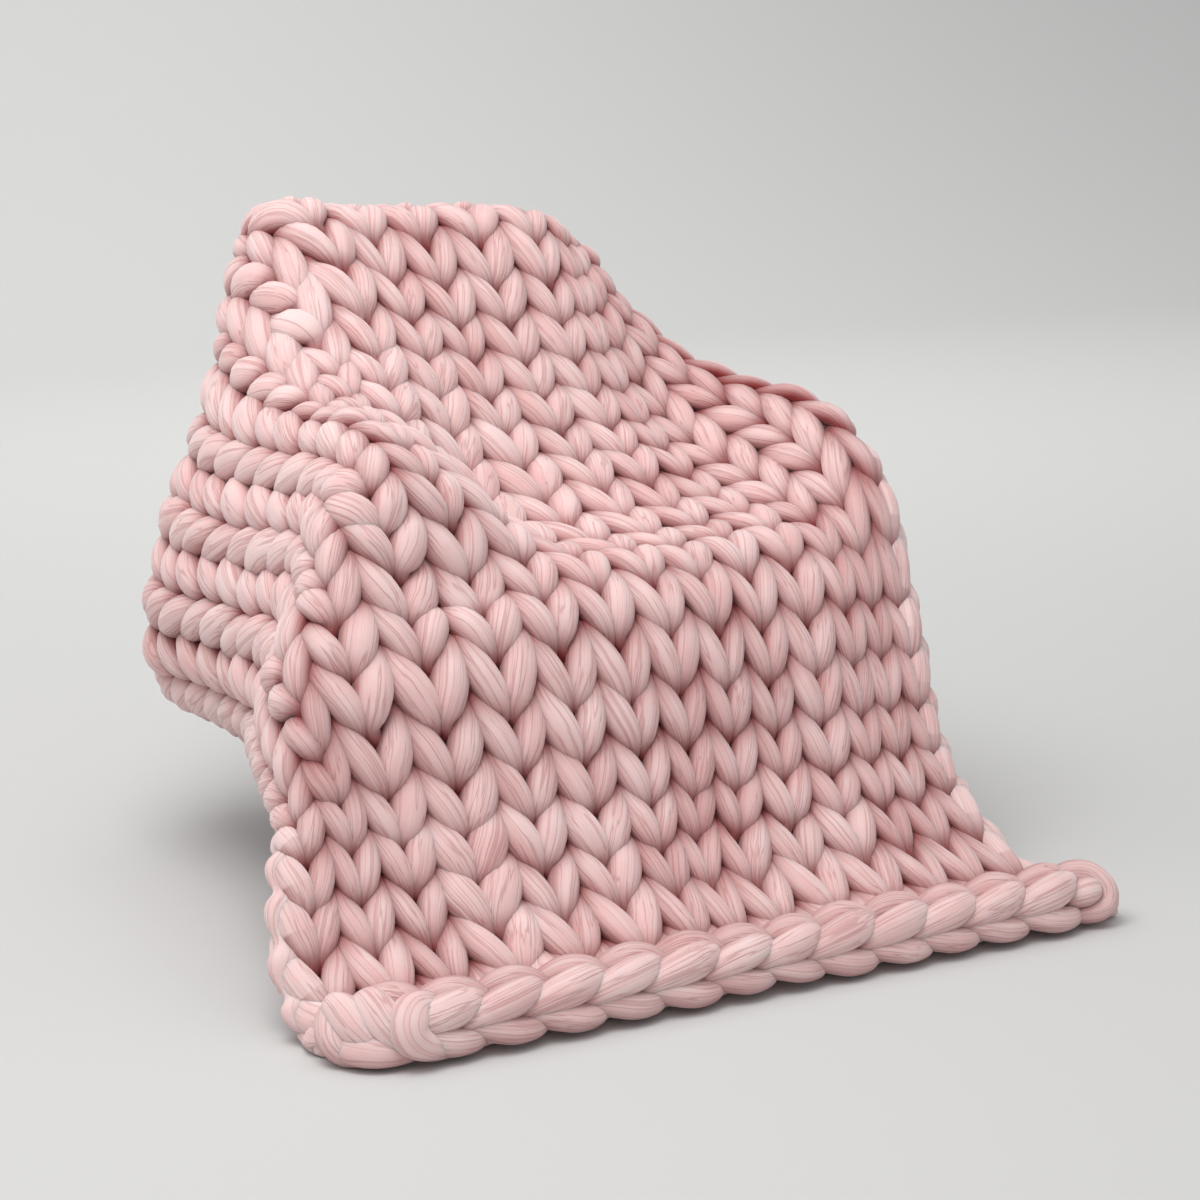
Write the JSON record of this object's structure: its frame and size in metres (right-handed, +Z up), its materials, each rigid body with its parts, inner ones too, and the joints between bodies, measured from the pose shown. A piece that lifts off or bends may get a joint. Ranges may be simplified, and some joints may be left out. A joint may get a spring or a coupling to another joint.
{
  "type": "knit blanket on chair",
  "caption": "Chunky knit blanket thrown over a plain scooped chair, spilling from the seat to the floor in front and hanging down one side.",
  "frame": {"origin": "on the floor, at the middle of the chair's round foot", "axes": "+Z up, the chair and the blanket's front hem face -Y, +X is to the right as seen from the front"},
  "size_m": [1.1034, 1.1075, 0.9157],
  "materials": {
    "pink_wool": "matt unspun wool roving",
    "pale_shell": "matt moulded plastic",
    "grey_paint": "satin powder coat"
  },
  "bodies": {
    "root": {"blanket": "pink_wool", "chair_shell": "pale_shell", "chair_column": "grey_paint", "chair_foot": "grey_paint"}
  },
  "joints": []
}
